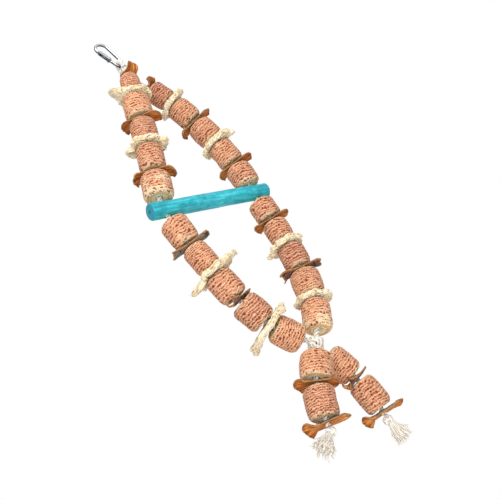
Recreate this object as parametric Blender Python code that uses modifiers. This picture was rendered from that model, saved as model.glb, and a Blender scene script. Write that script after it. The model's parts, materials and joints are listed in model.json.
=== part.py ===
"""Hanging chew toy for a cage bird, at real size in metres, +Z up.

A spring-gate snap hook carries a folded cotton rope.  Both legs of the rope are threaded
with corn-cob segments, curled bark chips and loofah slices, pass through a wooden perch,
meet in a knot and end as two tails with frayed tassels.  The toy hangs in the XZ plane.
The origin is the inside top of the hook's bow, where a cage bar carries it.
"""
import math

import bmesh
import bpy
from mathutils import Matrix, Vector

# Snap hook (lengths in metres, angles in degrees)
wire_radius = 0.0018
hook_length = 0.042
bow_radius = 0.0082
hook_lean = 21.0
nose_drop = 0.0015
nose_length = 0.0030
nose_radius = 0.0013
gate_length = 0.0150
gate_inner_width = 0.0028
gate_depth = 0.0038
gate_wall = 0.0009
tongue_thickness = 0.0020
tongue_length = 0.0050
rivet_radius = 0.0008
rivet_head_radius = 0.0016
rivet_head_height = 0.0008
spring_radius = 0.0009
spring_wire = 0.00028
spring_turns = 4.5
spring_length = 0.0062
steel_gap = 0.0003

# Rope
rope_radius = 0.0030
eye_clearance = 0.0006
leg_length = 0.0100
rope_gap = 0.0003

# Threaded pieces, top to bottom on each strand; a pair is for the two ends of a chip or slice
cob_bore_clearance = 0.0013
chip_bore_clearance = 0.0007
left_cob_radius = [0.0130, 0.0162, 0.0148, 0.0150, 0.0166, 0.0153, 0.0140, 0.0155, 0.0163, 0.0158,
                   0.0168, 0.0158]
right_cob_radius = [0.0138, 0.0148, 0.0157, 0.0152, 0.0155, 0.0152, 0.0143, 0.0152, 0.0164, 0.0158,
                    0.0153, 0.0148]
left_cob_length = [0.0272, 0.0298, 0.0298, 0.0331, 0.0310, 0.0306, 0.0307, 0.0305, 0.0302, 0.0307,
                   0.0283, 0.0314]
right_cob_length = [0.0263, 0.0286, 0.0284, 0.0290, 0.0281, 0.0240, 0.0261, 0.0272, 0.0282, 0.0336,
                    0.0319, 0.0343]
cob_sides = 14
cob_rows = 3
cob_end_inset = 0.0040
cob_end_drop = 0.0026
socket_relief = 0.0005
left_bark_reach = [(0.0210, 0.0110), (0.0255, 0.0255), (0.0265, 0.0265), (0.0245, 0.0245),
                   (0.0230, 0.0200), (0.0235, 0.0235), (0.0250, 0.0250)]
right_bark_reach = [(0.0135, 0.0180), (0.0245, 0.0245), (0.0240, 0.0240), (0.0230, 0.0230),
                    (0.0250, 0.0250), (0.0230, 0.0210), (0.0250, 0.0250)]
bark_width = [0.0170, 0.0220, 0.0220, 0.0220, 0.0220, 0.0220, 0.0220]
bark_thickness = 0.0024
bark_curl_radius = 0.0266
bark_end_curl_radius = 0.0090
bark_taper = 0.12
bark_point = 0.22
bark_ragged = 0.0022
bark_bend = [0.0060, 0.0178, 0.0178, 0.0178, 0.0178, 0.0178, 0.0178]
left_bark_droop = [(-68.0, 0.0), (38.0, 28.0), (45.0, 52.0), (8.0, 0.0), (15.0, 10.0), (38.0, 25.0),
                   (10.0, 24.0)]
right_bark_droop = [(0.0, -45.0), (36.0, 14.0), (32.0, 10.0), (32.0, 5.0), (45.0, 20.0), (18.0, 0.0),
                    (6.0, 0.0)]
left_bark_twist = [(0.0, 0.0), (0.0, 0.0), (0.0, 0.0), (0.0, 0.0), (0.0, 0.0), (22.0, 10.0), (38.0, 0.0)]
right_bark_twist = [(0.0, 0.0), (10.0, 0.0), (0.0, 0.0), (14.0, 0.0), (12.0, 0.0), (0.0, 0.0), (40.0, 12.0)]
left_bark_curl = [-1, -1, -1, 1, 1, -1, -1]
right_bark_curl = [-1, -1, -1, -1, 1, 1, -1]
left_bark_turn = [112.0, -40.0, -30.0, -25.0, 20.0, -30.0, -38.0]
right_bark_turn = [-35.0, -35.0, -42.0, -40.0, -30.0, 15.0, -45.0]
left_loofah_reach = [(0.0265, 0.0205), (0.0250, 0.0240), (0.0310, 0.0320), (0.0350, 0.0270)]
right_loofah_reach = [(0.0210, 0.0215), (0.0225, 0.0250), (0.0260, 0.0205), (0.0205, 0.0205)]
left_loofah_droop = [(-0.0025, 0.0010), (0.0015, 0.0010), (0.0015, -0.0010), (0.0015, 0.0005)]
right_loofah_droop = [(0.0012, -0.0005), (0.0015, 0.0005), (0.0015, 0.0005), (0.0008, 0.0008)]
loofah_waist = 0.0174
loofah_flat = 0.0144
loofah_ripple = 0.0007
loofah_thickness = 0.0062
loofah_wall = 0.0018
left_loofah_turn = [-40.0, -35.0, -40.0, -45.0]
right_loofah_turn = [-30.0, -40.0, -35.0, -40.0]
piece_gap = 0.0004

# Strand shapes: headings from straight down, positive towards +X
upper_heading = [-26.7, 29.8]
upper_turn = [-6.0, -46.6]
upper_power = [0.89, 0.85]
top_rope = [0.0079, 0.0304]
lower_turn = [52.4, -50.8]
lower_power = 2.8
knot_reach = 0.0170
tail_heading = [-60.4, 22.0]
tail_turn = [34.2, -38.4]
tail_lead = 0.008
tail_depth = [-0.007, 0.007]

# Perch
perch_radius = 0.0094
perch_overhang = 0.0175
perch_chamfer = 0.0008
hole_clearance = 0.0008
upper_lean_allowance = [16.5, 3.0]
lower_lean_allowance = [12.5, 3.0]

# Knots and tassels
knot_turn_radius = 0.0065
stopper_lip = 0.0019
knot_dip = 0.0009
tassel_length = 0.0275
tassel_flare = [0.0120, 0.0105]
tassel_lean = [-46.0, 20.0]
tassel_strands = 8
tassel_groove = 0.14

densities = {"cob": 260.0, "bark": 520.0, "loofah": 80.0, "perch": 620.0}

eye_radius = wire_radius + rope_radius + eye_clearance
cob_bore = rope_radius + cob_bore_clearance
chip_bore = rope_radius + chip_bore_clearance
hole_radius = rope_radius + hole_clearance
knot_radius = knot_turn_radius + rope_radius
stopper_radius = chip_bore + stopper_lip
up_axis = Vector((0, 0, 1))
depth_axis = Vector((0, 1, 0))


def clear_scene():
    for ob in list(bpy.data.objects):
        bpy.data.objects.remove(ob, do_unlink=True)
    for group in list(bpy.data.collections):
        bpy.data.collections.remove(group)


def make_collection(name):
    group = bpy.data.collections.new(name)
    bpy.context.scene.collection.children.link(group)
    return group


def make_material(name, colour, rough, metal=0.0):
    mat = bpy.data.materials.new(name)
    mat.use_nodes = True
    shader = mat.node_tree.nodes["Principled BSDF"]
    shader.inputs["Base Color"].default_value = (*colour, 1.0)
    shader.inputs["Roughness"].default_value = rough
    shader.inputs["Metallic"].default_value = metal
    return mat


clear_scene()
parts = make_collection("hanging_bird_chew_toy")
cutters = make_collection("cutters")
steel = make_material("zinc plated steel", (0.55, 0.56, 0.58), 0.3, 1.0)
cotton = make_material("cotton rope", (0.90, 0.88, 0.83), 0.9)
cob_material = make_material("dried corn cob", (0.68, 0.29, 0.16), 0.85)
bark_material = make_material("bark", (0.30, 0.16, 0.08), 0.85)
loofah_material = make_material("loofah", (0.86, 0.74, 0.50), 0.9)
perch_material = make_material("painted wood", (0.03, 0.42, 0.52), 0.5)


def put(name, data, mat, matrix=None, group=None):
    """Object for a mesh or curve, placed and linked."""
    ob = bpy.data.objects.new(name, data)
    ob.matrix_world = matrix if matrix is not None else Matrix.Identity(4)
    data.materials.append(mat)
    (group or parts).objects.link(ob)
    return ob


def make_cutter(ob):
    parts.objects.unlink(ob)
    cutters.objects.link(ob)
    ob.hide_render = True
    ob.display_type = "WIRE"
    return ob


def boolean(ob, tool, operation="DIFFERENCE"):
    mod = ob.modifiers.new(operation.lower() + " " + tool.name, "BOOLEAN")
    mod.operation = operation
    mod.solver = "EXACT"
    mod.object = tool


def baked(ob):
    """The same object as a plain welded mesh."""
    name, matrix, mat = ob.name, ob.matrix_world.copy(), ob.data.materials[0]
    bpy.context.view_layer.update()
    mesh = bpy.data.meshes.new_from_object(ob.evaluated_get(bpy.context.evaluated_depsgraph_get()))
    bpy.data.objects.remove(ob, do_unlink=True)
    bm = bmesh.new()
    bm.from_mesh(mesh)
    bmesh.ops.remove_doubles(bm, verts=bm.verts, dist=0.00001)
    bm.to_mesh(mesh)
    bm.free()
    mesh.materials.clear()
    new = put(name, mesh, mat, matrix)
    new.name = name
    return new


def wire(name, points, radius, mat, matrix=None, factors=None, sides_level=2):
    """Round tube along a line of points; factors scale the radius point by point."""
    curve = bpy.data.curves.new(name, "CURVE")
    curve.dimensions = "3D"
    curve.bevel_depth = radius
    curve.bevel_resolution = sides_level
    curve.use_fill_caps = True
    spline = curve.splines.new("POLY")
    spline.points.add(len(points) - 1)
    for i, p in enumerate(points):
        spline.points[i].co = (p[0], p[1], p[2], 1.0)
        spline.points[i].radius = factors[i] if factors else 1.0
    return put(name, curve, mat, matrix)


def turned(name, profile, steps, mat, matrix=None, closed=False):
    """Profile of (radius, height) pairs, outer side top to bottom, turned about Z."""
    mesh = bpy.data.meshes.new(name)
    edges = [(i, i + 1) for i in range(len(profile) - 1)]
    if closed:
        edges.append((len(profile) - 1, 0))
    mesh.from_pydata([(r, 0.0, z) for r, z in profile], edges, [])
    ob = put(name, mesh, mat, matrix)
    mod = ob.modifiers.new("turn", "SCREW")
    mod.steps = steps
    mod.render_steps = steps
    mod.use_merge_vertices = True
    mod.merge_threshold = 0.00001
    return ob


def rod(name, radius, length, sides, mat, matrix):
    mesh = bpy.data.meshes.new(name)
    bm = bmesh.new()
    bmesh.ops.create_cone(bm, cap_ends=True, segments=sides, radius1=radius, radius2=radius, depth=length)
    bm.to_mesh(mesh)
    bm.free()
    return put(name, mesh, mat, matrix)


def block(name, low, high, mat, matrix):
    mesh = bpy.data.meshes.new(name)
    bm = bmesh.new()
    bmesh.ops.create_cube(bm, size=1.0)
    low, high = Vector(low), Vector(high)
    for v in bm.verts:
        for k in range(3):
            v.co[k] = (low[k] + high[k]) / 2 + v.co[k] * (high[k] - low[k])
    bm.to_mesh(mesh)
    bm.free()
    return put(name, mesh, mat, matrix)


def frame_along(up, spot):
    """Matrix at a spot with Z along `up` and X in the toy's plane."""
    right = depth_axis.cross(up).normalized()
    matrix = Matrix((right, up.cross(right), up)).transposed().to_4x4()
    matrix.translation = spot
    return matrix


def make_cob(name, radius, length, matrix):
    """Drilled corn-cob segment: a turned core whose rows are pressed into kernel sockets."""
    half = length / 2
    body = half - cob_end_drop
    rows = [body - 2 * body * j / (cob_rows + 1) for j in range(cob_rows + 2)]
    profile = [(cob_bore, half), (radius - cob_end_inset, half)]
    profile += [(radius, z) for z in rows]
    profile += [(radius - cob_end_inset, -half), (cob_bore, -half)]
    ob = baked(turned(name, profile, cob_sides, cob_material, matrix, closed=True))
    for v in ob.data.vertices:
        if math.hypot(v.co.x, v.co.y) < radius - 0.5 * cob_end_inset:
            continue
        column = round(math.atan2(v.co.y, v.co.x) * cob_sides / (2 * math.pi))
        row = round((body - v.co.z) * (cob_rows + 1) / (2 * body))
        depth = 2 * socket_relief if (row + column) % 2 else 0.0
        v.co.x *= 1.0 - depth / radius
        v.co.y *= 1.0 - depth / radius
    return ob


def bark_rise():
    return bark_curl_radius - math.sqrt(bark_curl_radius ** 2 - max(bark_width) ** 2 / 4)


def bark_line(reach, bend, droop):
    """Stations along a chip as (x, z, lean): flat between the bends, drooping past them."""
    ends = []
    for sign, angle, half in zip((-1, 1), droop, reach):
        a = math.radians(angle)
        step = (half - bend) / 2
        x, z = bend, 0.0
        line = [(sign * x, z, 0.35 * sign * a)]
        for lean in (0.7 * a, 1.3 * a):
            x += step * math.cos(lean)
            z -= step * math.sin(lean)
            line.append((sign * x, z, sign * lean))
        ends.append(line)
    return ends[0][::-1] + [(0.0, 0.0, 0.0)] + ends[1]


def make_bark(name, reach, breadth, bend, droop, twist, curl_up, matrix):
    """Curled bark chip: a bent sheet thickened to both sides and drilled."""
    line = bark_line(reach, bend, droop)
    last = len(line) - 1
    mesh = bpy.data.meshes.new(name)
    bm = bmesh.new()
    bmesh.ops.create_grid(bm, x_segments=last, y_segments=4, size=0.5)
    for v in bm.verts:
        column = round((v.co.x + 0.5) * last)
        x, z, lean = line[column]
        width = breadth * (1.0 - bark_taper * (v.co.x + 0.5) - bark_point * abs(2 * v.co.x) ** 3)
        y = v.co.y * width
        radius = bark_curl_radius + (bark_end_curl_radius - bark_curl_radius) * abs(2 * v.co.x) ** 2
        curl = curl_up * (radius - math.sqrt(radius ** 2 - y * y) - bark_rise() / 2)
        a = math.radians(twist[0 if v.co.x < 0 else 1]) * max(0.0, 3 * abs(v.co.x) - 0.5)
        y, curl = y * math.cos(a) + curl * math.sin(a), curl * math.cos(a) - y * math.sin(a)
        if column in (0, last):
            ragged = bark_ragged * (0.5 + 0.5 * math.sin(3.1 * curl_up + 900.0 * y + 7.0 * v.co.x))
            x -= math.copysign(ragged, x) * math.cos(lean)
            z += ragged * math.sin(math.copysign(lean, lean * x))
        v.co = (x + curl * math.sin(lean), y, z + curl * math.cos(lean))
    bm.to_mesh(mesh)
    bm.free()
    ob = put(name, mesh, bark_material, matrix)
    shell = ob.modifiers.new("thickness", "SOLIDIFY")
    shell.thickness = bark_thickness
    shell.offset = 0.0
    depth = 6 * bark_thickness + 2 * bark_rise()
    drill = rod(name + "_bore", chip_bore, depth, 12, bark_material, matrix)
    boolean(ob, make_cutter(drill))
    return ob


def make_loofah(name, reach, droop, seed, matrix):
    """Loofah slice: two drooping lobes, a drilled hole and three seed channels."""
    half = loofah_thickness / 2
    profile = [(chip_bore, half), (loofah_flat, half), (loofah_waist, 0.6 * half)]
    profile += [(r, -z) for r, z in reversed(profile)]
    ob = baked(turned(name, profile, 24, loofah_material, matrix, closed=True))
    for v in ob.data.vertices:
        r = math.hypot(v.co.x, v.co.y)
        if r < (loofah_flat + loofah_waist) / 2:
            continue
        end = 0 if v.co.x < 0 else 1
        lobe = (v.co.x / r) ** 2
        rim = loofah_waist + (reach[end] - loofah_waist) * lobe
        rim += loofah_ripple * math.cos(7 * math.atan2(v.co.y, v.co.x) + seed)
        v.co.x *= rim / r
        v.co.y *= rim / r
        v.co.z -= droop[end] * lobe
    inner = chip_bore + loofah_wall
    outer = loofah_flat - loofah_wall
    for k in range(3):
        a = seed + 2 * math.pi * k / 3
        spot = Vector((math.cos(a), math.sin(a), 0.0)) * (inner + outer) / 2
        drill = rod(name + "_channel_" + str(k + 1), (outer - inner) / 2, 3 * loofah_thickness, 6,
                    loofah_material, matrix @ Matrix.Translation(spot))
        boolean(ob, make_cutter(drill))
    return ob


def circle(count):
    return [2 * math.pi * i / count for i in range(count)]


class Strand:
    """A planar curve whose heading turns by turn * (s / length) ** power."""

    def __init__(self, length, turn, power):
        self.length = length
        self.turn = math.radians(turn)
        self.power = power
        self.start = Vector((0.0, 0.0))
        self.heading = 0.0
        self.samples = [Vector((0.0, 0.0))]
        self.count = 240
        step = length / self.count
        for i in range(self.count):
            a = self.bend((i + 0.5) * step)
            self.samples.append(self.samples[-1] + step * Vector((math.sin(a), -math.cos(a))))

    def bend(self, s):
        f = min(max(s / self.length, 0.0), 1.0)
        return self.turn * f ** self.power

    def chord(self):
        return self.samples[-1]

    def aim(self, start, target=None, heading=None):
        self.start = start.copy()
        if target is not None:
            c = self.chord()
            d = target - start
            self.heading = math.atan2(d.x, -d.y) - math.atan2(c.x, -c.y)
        else:
            self.heading = heading

    def at(self, s):
        f = s / self.length * self.count
        i = min(max(int(math.floor(f)), 0), self.count - 1)
        p = self.samples[i].lerp(self.samples[i + 1], f - i)
        c, k = math.cos(self.heading), math.sin(self.heading)
        return self.start + Vector((p.x * c - p.y * k, p.x * k + p.y * c))

    def direction(self, s):
        a = self.heading + self.bend(s)
        return Vector((math.sin(a), -math.cos(a)))


upper_items = [("bark", 1), ("cob", 1), ("loofah", 1), ("cob", 2), ("bark", 2), ("cob", 3),
               ("loofah", 2), ("cob", 4), ("bark", 3), ("cob", 5)]
lower_items = [("cob", 6), ("bark", 4), ("cob", 7), ("loofah", 3), ("cob", 8), ("bark", 5),
               ("cob", 9), ("loofah", 4), ("cob", 10)]
tail_items = [("cob", 11), ("bark", 6), ("cob", 12), ("bark", 7)]
cob_radius = {"left": left_cob_radius, "right": right_cob_radius}
cob_length = {"left": left_cob_length, "right": right_cob_length}
bark_reach = {"left": left_bark_reach, "right": right_bark_reach}
bark_droop = {"left": left_bark_droop, "right": right_bark_droop}
bark_twist = {"left": left_bark_twist, "right": right_bark_twist}
bark_curl = {"left": left_bark_curl, "right": right_bark_curl}
bark_turn = {"left": left_bark_turn, "right": right_bark_turn}
loofah_reach = {"left": left_loofah_reach, "right": right_loofah_reach}
loofah_droop = {"left": left_loofah_droop, "right": right_loofah_droop}
loofah_turn = {"left": left_loofah_turn, "right": right_loofah_turn}
strand_sides = ("left", "right")


def sizes(side, kind, number):
    """Thickness along the rope and reach from it."""
    if kind == "cob":
        return cob_length[side][number - 1], cob_radius[side][number - 1]
    if kind == "bark":
        return bark_thickness + bark_rise(), max(bark_reach[side][number - 1])
    return loofah_thickness, max(loofah_reach[side][number - 1])


def flat_reach(side, kind, number):
    """Reach of the flat end that a piece turns to its neighbour."""
    thick, reach = sizes(side, kind, number)
    return reach - cob_end_inset if kind == "cob" else reach


def stack(side, items, first_gap, last_gap, turn, power, from_end=False):
    """Distances of the pieces' middles from the start, and the whole length."""
    length = 0.2
    for attempt in range(12):
        curve = Strand(length, turn, power)
        s = first_gap
        places = []
        before = None
        for kind, number in items:
            thick = sizes(side, kind, number)[0]
            reach = flat_reach(side, kind, number)
            middle = s + thick / 2
            if before is not None:
                touch = min(reach, before[1])
                spots = [length - m if from_end else m for m in (middle, before[0])]
                middle += piece_gap + touch * abs(curve.bend(spots[0]) - curve.bend(spots[1]))
            places.append(middle)
            before = (middle, reach)
            s = middle + thick / 2
        length = s + last_gap
    return places, length


def lean_gap(radius, lean):
    """Rope between the perch and a cob, so that the cob can lean without touching."""
    return radius * math.tan(math.radians(lean)) + piece_gap


def layout(tilt):
    """All curves and piece positions in the XZ plane, hung from a pivot at (0, 0)."""
    plan = {"pieces": [], "upper": [], "lower": [], "tail": []}
    for k, side in enumerate(strand_sides):
        flipped = list(reversed(upper_items))
        gap = lean_gap(flat_reach(side, "cob", 5), upper_lean_allowance[k])
        places, length = stack(side, flipped, gap, top_rope[k], upper_turn[k], upper_power[k], True)
        curve = Strand(length, upper_turn[k], upper_power[k])
        curve.aim(Vector((0.0, 0.0)), heading=math.radians(upper_heading[k]) + tilt)
        plan["upper"].append(curve)
        for (kind, number), e in zip(flipped, places):
            plan["pieces"].append((side, kind, number, curve, length - e))
    holes = [c.at(c.length) for c in plan["upper"]]
    along = (holes[1] - holes[0]).normalized()
    down = Vector((along.y, -along.x))
    fold = [p + down * (2 * perch_radius + rope_radius + rope_gap) for p in holes]
    for k, side in enumerate(strand_sides):
        gap = lean_gap(flat_reach(side, "cob", 6), lower_lean_allowance[k])
        places, length = stack(side, lower_items, gap, knot_reach, lower_turn[k], lower_power)
        curve = Strand(length, lower_turn[k], lower_power)
        plan["lower"].append(curve)
        for (kind, number), s in zip(lower_items, places):
            plan["pieces"].append((side, kind, number, curve, s))
    reach = [c.chord().length for c in plan["lower"]]
    apart = (fold[1] - fold[0]).length
    across = (reach[0] ** 2 - reach[1] ** 2 + apart ** 2) / (2 * apart)
    knot = fold[0] + along * across + down * math.sqrt(reach[0] ** 2 - across ** 2)
    for curve, ball in zip(plan["lower"], fold):
        curve.aim(ball, target=knot)
    for k, side in enumerate(strand_sides):
        heading = math.radians(tail_heading[k]) + tilt
        away = Vector((math.sin(heading), -math.cos(heading)))
        places, length = stack(side, tail_items, tail_lead, rope_gap, tail_turn[k], 1.0)
        curve = Strand(length, tail_turn[k], 1.0)
        apart = knot_radius + rope_gap + rope_radius - knot_dip
        curve.aim(knot + away * math.sqrt(apart ** 2 - tail_depth[k] ** 2), heading=heading)
        plan["tail"].append(curve)
        for (kind, number), s in zip(tail_items, places):
            plan["pieces"].append((side, kind, number, curve, s))
    plan.update(holes=holes, along=along, down=down, fold=fold, knot=knot)
    return plan


def piece_mass(side, kind, number):
    thick, reach = sizes(side, kind, number)
    if kind == "cob":
        return math.pi * reach ** 2 * thick * densities["cob"]
    if kind == "bark":
        area = sum(bark_reach[side][number - 1]) * bark_width[number - 1]
        return area * bark_thickness * densities["bark"]
    return math.pi * (0.75 * reach) ** 2 * thick * densities["loofah"]


def balanced_layout():
    """Turn the whole toy about its pivot until its weight hangs below the pivot."""
    tilt = 0.0
    for attempt in range(4):
        plan = layout(tilt)
        moment = Vector((0.0, 0.0))
        total = 0.0
        for side, kind, number, curve, s in plan["pieces"]:
            mass = piece_mass(side, kind, number)
            moment += mass * curve.at(s)
            total += mass
        spread = (plan["holes"][1] - plan["holes"][0]).length + 2 * perch_overhang
        mass = math.pi * perch_radius ** 2 * spread * densities["perch"]
        moment += mass * ((plan["holes"][0] + plan["holes"][1]) / 2 + plan["down"] * perch_radius)
        total += mass
        tilt -= math.atan2(moment.x, -moment.y)
    return plan


def hook_point(across, up):
    """Hook plane coordinates to the world; the hook leans about Y."""
    c = math.cos(math.radians(hook_lean))
    k = math.sin(math.radians(hook_lean))
    return Vector((across * c - up * k, 0.0, across * k + up * c))


def arc(centre, radius, start, finish, steps):
    angles = [start + (finish - start) * i / steps for i in range(steps + 1)]
    return [Vector((radius * math.cos(a), centre + radius * math.sin(a))) for a in angles]


# Snap hook: one bent wire from the gate's rivet round the eye, up the spine and over the bow
bow_centre = wire_radius - bow_radius
eye_centre = 3 * wire_radius - hook_length + eye_radius
slope = math.asin((bow_radius - eye_radius) / (bow_centre - eye_centre))
bow_end = Vector((-bow_radius * math.cos(slope), bow_centre + bow_radius * math.sin(slope)))
eye_end = Vector((-eye_radius * math.cos(slope), eye_centre + eye_radius * math.sin(slope)))
side_line = (eye_end - bow_end).normalized()
nose_spot = bow_end + side_line * nose_drop
rivet_spot = nose_spot + side_line * gate_length
tongue_top = rivet_spot - side_line * wire_radius
hook_line = [tongue_top, tongue_top + side_line * 0.5 * wire_radius]
hook_line += arc(eye_centre, eye_radius, math.pi - slope, 2 * math.pi + slope, 10)
hook_line += arc(bow_centre, bow_radius, slope, math.pi - slope, 12)
hook_line += [nose_spot, nose_spot + side_line * 0.0004, nose_spot + side_line * nose_length]
factors = [1.0] * len(hook_line)
factors[0] = 0.6
factors[-2:] = [nose_radius / wire_radius] * 2
hook_body = baked(wire("hook_body", [hook_point(p.x, p.y) for p in hook_line], wire_radius, steel,
                       factors=factors, sides_level=3))

rivet_world = hook_point(rivet_spot.x, rivet_spot.y)
rivet_frame = Matrix.Translation(rivet_world) @ Matrix.Rotation(math.radians(90.0), 4, "X")
gate_up = hook_point(-side_line.x, -side_line.y)
gate_frame = frame_along(gate_up, rivet_world)
half_tongue = tongue_thickness / 2
for k, sign in enumerate((-1, 1)):
    y_range = sorted((sign * half_tongue, sign * 3 * wire_radius))
    low = (-2 * wire_radius, y_range[0], wire_radius - tongue_length)
    high = (2 * wire_radius, y_range[1], 2 * wire_radius)
    boolean(hook_body, make_cutter(block("tongue_flat_" + str(k), low, high, steel, gate_frame)))
    low = (-2 * wire_radius, y_range[0], gate_length - nose_length - wire_radius)
    high = (2 * wire_radius, y_range[1], gate_length - steel_gap)
    boolean(hook_body, make_cutter(block("nose_flat_" + str(k), low, high, steel, gate_frame)))
rivet_bore = rivet_radius + steel_gap
rivet_hole = make_cutter(rod("rivet_hole", rivet_bore, 8 * wire_radius, 16, steel, rivet_frame))
boolean(hook_body, rivet_hole)

# Gate: folded channel, open outwards, straddling the flats of the wire at both ends
half_width = gate_inner_width / 2 + gate_wall
web_inside = nose_radius + steel_gap
gate_low = -wire_radius - steel_gap
gate = block("gate", (web_inside + gate_wall - gate_depth, -half_width, gate_low),
             (web_inside + gate_wall, half_width, gate_length - 2 * steel_gap), steel, gate_frame)
channel = block("gate_channel", (-2 * gate_depth, -gate_inner_width / 2, 2 * gate_low),
                (web_inside, gate_inner_width / 2, 2 * gate_length), steel, gate_frame)
relief = block("gate_relief", (-2 * gate_depth, -gate_inner_width / 2, 2 * gate_low),
               (2 * gate_depth, gate_inner_width / 2, wire_radius + 3 * steel_gap), steel, gate_frame)
for tool in (channel, relief):
    boolean(gate, make_cutter(tool))
boolean(gate, rivet_hole)

# Rivet through the gate's cheeks and the tongue
head = half_width + steel_gap
crown = head + rivet_head_height
profile = [(0.0, crown), (0.7 * rivet_head_radius, crown), (rivet_head_radius, (head + crown) / 2),
           (rivet_head_radius, head), (rivet_radius, head)]
profile += [(r, -z) for r, z in reversed(profile)]
turned("gate_rivet", profile, 12, steel, rivet_frame)

# Coil spring lying in the gate's channel
per_turn = 8
spring_steps = int(spring_turns * per_turn)
spring_start = wire_radius + 4 * steel_gap + spring_wire
spring_points = []
for i in range(spring_steps + 1):
    t = 2 * math.pi * i / per_turn
    z = spring_start + spring_length * i / spring_steps
    spring_points.append(Vector((spring_radius * math.cos(t), spring_radius * math.sin(t), z)))
wire("gate_spring", spring_points, spring_wire, steel, gate_frame, sides_level=1)
far = per_turn // 2 + 1
turn_gap = min((a - b).length for i, a in enumerate(spring_points) for b in spring_points[i + far:])
print("gate spring: least gap between turns %.2f mm" % ((turn_gap - 2 * spring_wire) * 1000))

# Rope loop over the eye's wire: a half turn round the wire and two short legs
wire_spot = hook_point(0.0, eye_centre) - up_axis * eye_radius
loop_radius = wire_radius + rope_radius + rope_gap
pivot = wire_spot - up_axis * leg_length
leg_low = rope_radius + rope_gap - leg_length
loop_line = [Vector((0, -loop_radius, leg_low))]
loop_line += [Vector((0, -loop_radius * math.cos(a), loop_radius * math.sin(a)))
              for a in [math.pi * i / 10 for i in range(11)]]
loop_line.append(Vector((0, loop_radius, leg_low)))
wire("rope_loop", loop_line, rope_radius, cotton, Matrix.Translation(wire_spot))

plan = balanced_layout()


def place(p, y):
    return Vector((pivot.x + p.x, y, pivot.z + p.y))


def strand_depth(curve, s):
    """Front-to-back position: the legs sit before and behind the wire, the tails cross over."""
    for k, sign in enumerate((-1, 1)):
        if curve is plan["upper"][k]:
            return sign * loop_radius * (1.0 - s / curve.length)
        if curve is plan["tail"][k]:
            return tail_depth[k]
    return 0.0


def strand_point(curve, s):
    return place(curve.at(s), strand_depth(curve, s))


# Threaded pieces, each with its own origin and Z along the rope
for side, kind, number, curve, s in plan["pieces"]:
    thick, reach = sizes(side, kind, number)
    above, below = [strand_point(curve, s + f * thick / 2) for f in (-1, 1)]
    middle = (strand_point(curve, s) + (above + below) / 2) / 2
    matrix = frame_along((above - below).normalized(), middle)
    name = side + "_" + kind + "_" + str(number)
    mirror = 1 if side == "left" else -1
    if kind == "cob":
        make_cob(name, reach, thick, matrix)
    elif kind == "bark":
        matrix = matrix @ Matrix.Rotation(math.radians(bark_turn[side][number - 1]), 4, "Z")
        make_bark(name, bark_reach[side][number - 1], bark_width[number - 1], bark_bend[number - 1],
                  bark_droop[side][number - 1], bark_twist[side][number - 1], bark_curl[side][number - 1],
                  matrix)
    else:
        matrix = matrix @ Matrix.Rotation(math.radians(loofah_turn[side][number - 1]), 4, "Z")
        make_loofah(name, loofah_reach[side][number - 1], loofah_droop[side][number - 1],
                    number + 0.5 * mirror, matrix)


def rope(name, line):
    """Rope with a round start, its origin in the middle of that round."""
    origin = line[0].copy()
    go = (line[1] - line[0]).normalized()
    points = [origin - go * rope_radius * f for f in (0.98, 0.7)] + line
    factors = [0.2, 0.71] + [1.0] * len(line)
    points = [p - origin for p in points]
    return wire(name, points, rope_radius, cotton, Matrix.Translation(origin), factors)


# Rope down both strands
rope_step = 5.6 * rope_radius
lower_legs = []
for k, side in enumerate(strand_sides):
    upper, lower, tail = plan["upper"][k], plan["lower"][k], plan["tail"][k]
    count = round(upper.length / rope_step)
    line = [strand_point(upper, upper.length * i / count) for i in range(count + 1)]
    rope(side + "_upper_rope", line + [place(plan["holes"][k] + plan["down"] * 2 * perch_radius, 0.0)])
    count = round(lower.length / rope_step)
    finish = lower.length - 0.5 * knot_turn_radius
    line = [strand_point(lower, finish * i / count) for i in range(count + 1)]
    lower_legs.append(rope(side + "_lower_leg", line))
    count = round(tail.length / rope_step)
    rope(side + "_tail_rope", [strand_point(tail, tail.length * i / count) for i in range(count + 1)])

    # Stopper knot and frayed tassel in one piece, swinging about the stopper's middle
    go = tail.direction(tail.length)
    spot = place(tail.at(tail.length) + go * (stopper_radius + rope_gap), tail_depth[k])
    flare = tassel_flare[k]
    profile = [(stopper_radius * math.sin(a), stopper_radius * math.cos(a))
               for a in [math.radians(29.0 * i) for i in range(6)]]
    profile += [(1.3 * rope_radius, -0.28 * tassel_length), (0.7 * flare, -0.60 * tassel_length)]
    profile += [(flare, -0.88 * tassel_length), (0.85 * flare, -tassel_length)]
    profile.append((0.0, -0.96 * tassel_length))
    hang = frame_along(Vector((-go.x, 0.0, -go.y)), spot)
    hang = hang @ Matrix.Rotation(math.radians(-tassel_lean[k]), 4, "Y")
    tassel = baked(turned(side + "_tassel", profile, 2 * tassel_strands, cotton, hang))
    for v in tassel.data.vertices:
        column = round(math.atan2(v.co.y, v.co.x) * tassel_strands / math.pi)
        if v.co.z < -0.4 * tassel_length and column % 2:
            v.co.x *= 1.0 - tassel_groove
            v.co.y *= 1.0 - tassel_groove
            v.co.z += 0.5 * tassel_groove * flare

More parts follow.
